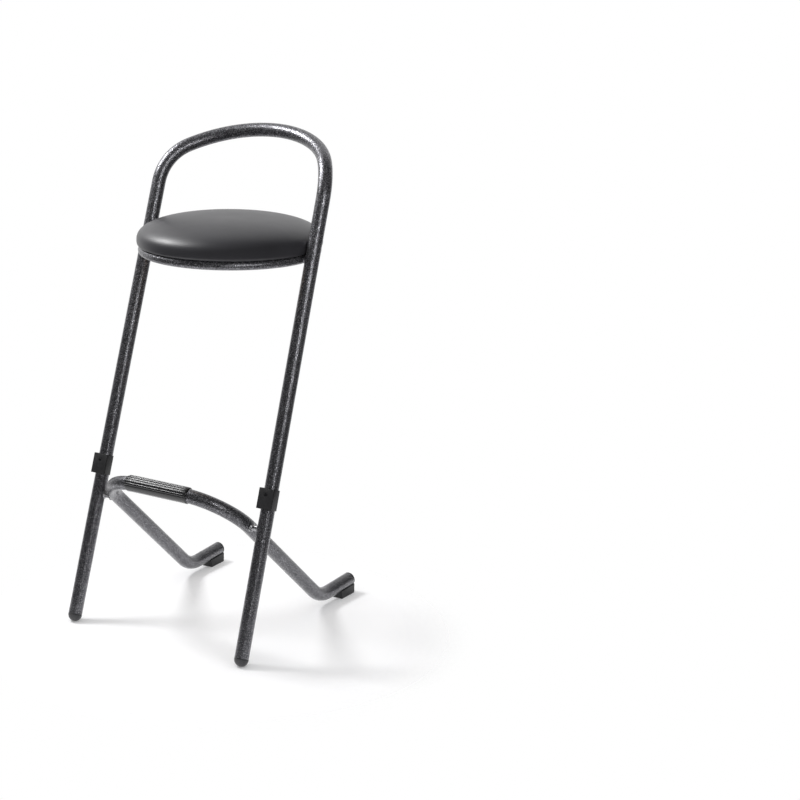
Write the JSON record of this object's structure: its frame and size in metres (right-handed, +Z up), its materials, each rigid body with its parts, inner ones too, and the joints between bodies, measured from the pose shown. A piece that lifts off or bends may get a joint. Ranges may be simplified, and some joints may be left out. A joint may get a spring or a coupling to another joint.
{
  "type": "bar stool",
  "caption": "Stackable bar stool: bent tube frame leaning back into a low backrest loop, round padded seat, footrest with ribbed sleeve and sloping base arms",
  "frame": {"origin": "on the floor, under the middle of the stool's width and depth", "axes": "+X to the right of someone looking at the front, +Y to the back where the backrest and the rear feet are, +Z up"},
  "size_m": [0.433, 0.4753, 0.9771],
  "materials": {
    "frame_coat": "hammered silver-grey speckle on black powder coat, semi-gloss",
    "weld_steel": "satin bare weld metal",
    "zinc": "zinc plated",
    "black_steel": "black oxide",
    "black_plastic": "fine matte moulded plastic",
    "gloss_plastic": "glossy ribbed plastic",
    "vinyl": "smooth semi-gloss black vinyl",
    "foam": "open-cell upholstery foam",
    "plywood": "raw birch plywood"
  },
  "bodies": {
    "root": {"front_frame": "frame_coat", "base_frame": "frame_coat", "seat_ring": "frame_coat", "ring_weld_left": "frame_coat", "ring_weld_right": "frame_coat", "joint_spacer_left": "weld_steel", "joint_spacer_right": "weld_steel", "leg_cap_left": "black_plastic", "leg_cap_right": "black_plastic", "rear_foot_left": "black_plastic", "rear_foot_right": "black_plastic", "stacking_clip_left": "black_plastic", "stacking_clip_right": "black_plastic", "clip_screw_left": "black_steel", "clip_screw_right": "black_steel", "footrest_sleeve": "gloss_plastic", "seat_cover": "vinyl", "seat_foam": "foam", "seat_board": "plywood", "seat_tab_1": "frame_coat", "seat_tab_2": "frame_coat", "seat_tab_3": "frame_coat", "seat_tab_4": "frame_coat", "seat_screw_1": "zinc", "seat_screw_2": "zinc", "seat_screw_3": "zinc", "seat_screw_4": "zinc", "seat_washer_1": "zinc", "seat_washer_2": "zinc", "seat_washer_3": "zinc", "seat_washer_4": "zinc", "seat_tee_nut_1": "zinc", "seat_tee_nut_2": "zinc", "seat_tee_nut_3": "zinc", "seat_tee_nut_4": "zinc", "cover_staple_01": "zinc", "cover_staple_02": "zinc", "cover_staple_03": "zinc", "cover_staple_04": "zinc", "cover_staple_05": "zinc", "cover_staple_06": "zinc", "cover_staple_07": "zinc", "cover_staple_08": "zinc", "cover_staple_09": "zinc", "cover_staple_10": "zinc", "cover_staple_11": "zinc", "cover_staple_12": "zinc", "cover_staple_13": "zinc", "cover_staple_14": "zinc", "cover_staple_15": "zinc", "cover_staple_16": "zinc"}
  },
  "joints": []
}
